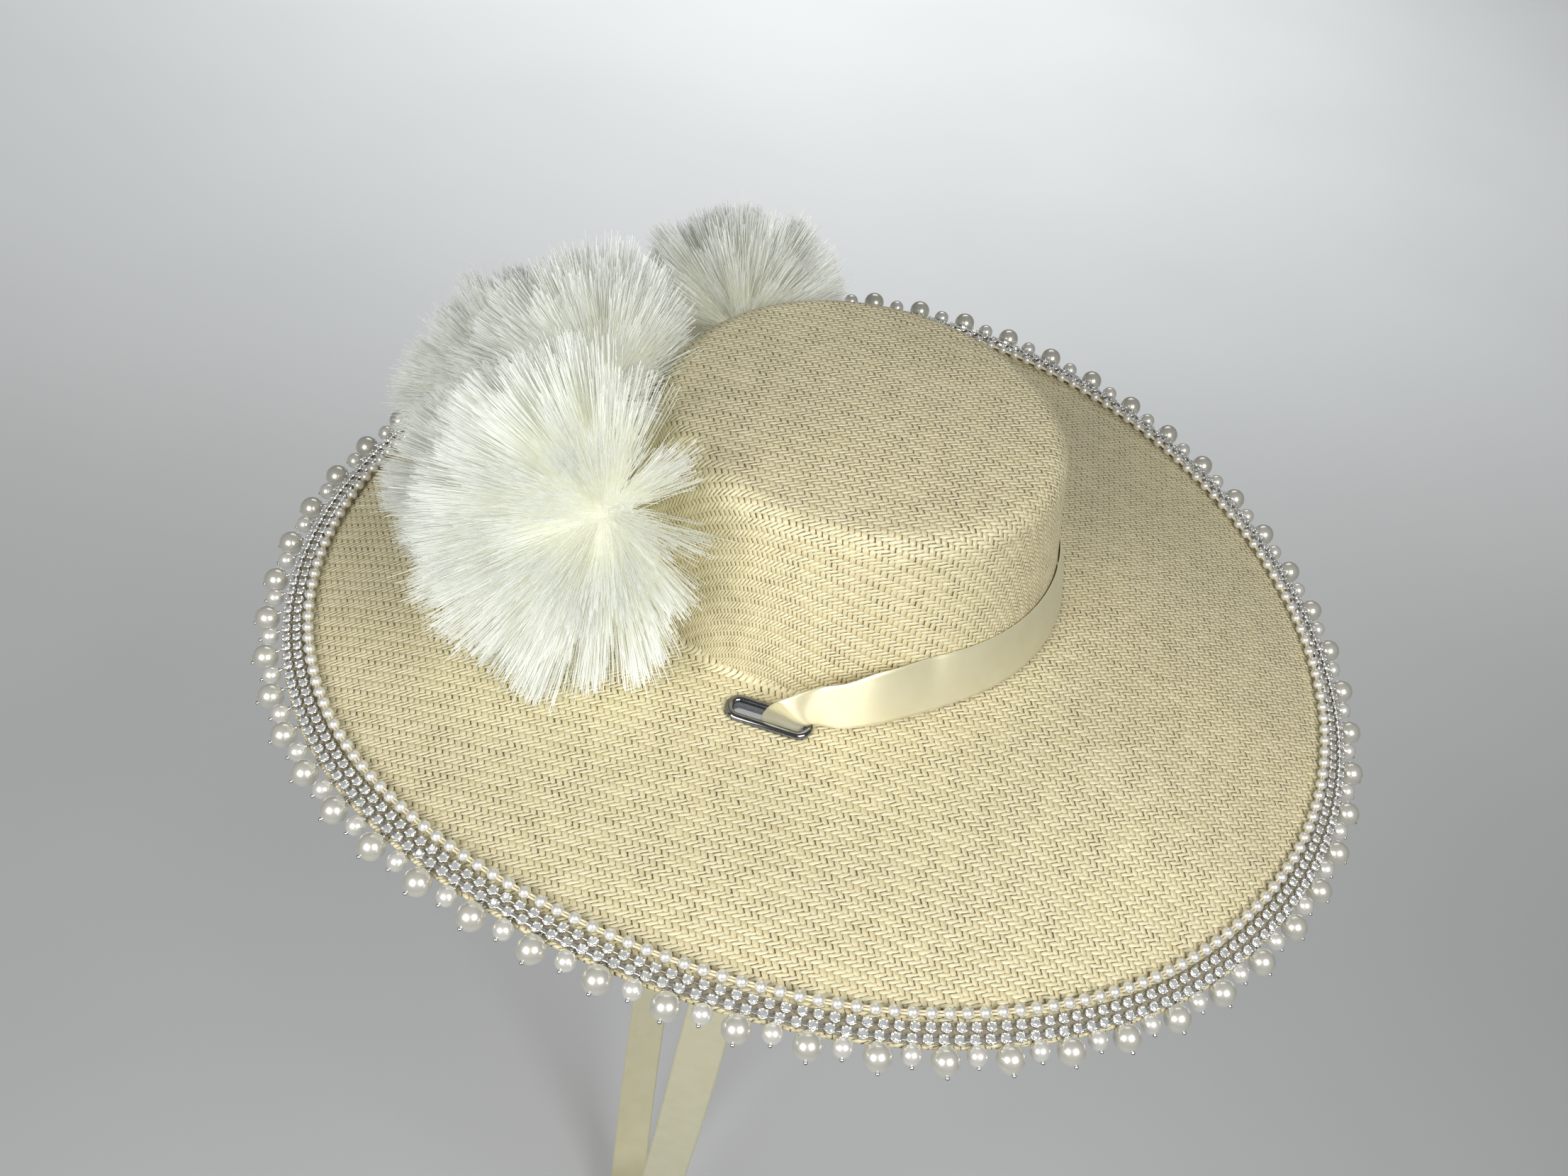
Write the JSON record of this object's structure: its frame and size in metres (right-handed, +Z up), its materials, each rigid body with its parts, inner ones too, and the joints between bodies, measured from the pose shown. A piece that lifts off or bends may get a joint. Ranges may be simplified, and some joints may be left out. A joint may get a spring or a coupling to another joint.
{
  "type": "wide-brim straw hat",
  "caption": "Wide-brim woven straw hat with a flat-topped crown, pearl and crystal edge, brush flowers at the front, and a satin ribbon that runs round the crown and under the chin.",
  "frame": {"origin": "middle of the head opening, where crown and brim meet, at the height of the brim's top face", "axes": "+Z up out of the crown; the wearer faces -Y; +X is the wearer's left"},
  "size_m": [0.4382, 0.4643, 0.7029],
  "materials": {
    "straw": "matte paper-straw twill",
    "eyelet_metal": "polished",
    "satin": "satin sheen",
    "pearl": "glossy pearl coat",
    "flower_fibre": "soft brush fibre"
  },
  "bodies": {
    "root": {"straw_body": "straw", "eyelet_left": "eyelet_metal", "eyelet_right": "eyelet_metal", "satin_ribbon": "satin", "pearl_fringe": "pearl", "pearl_string": "pearl", "flower_strip": "satin", "flower_1": "flower_fibre", "flower_2": "flower_fibre", "flower_3": "flower_fibre", "flower_4": "flower_fibre", "flower_5": "flower_fibre"}
  },
  "joints": []
}
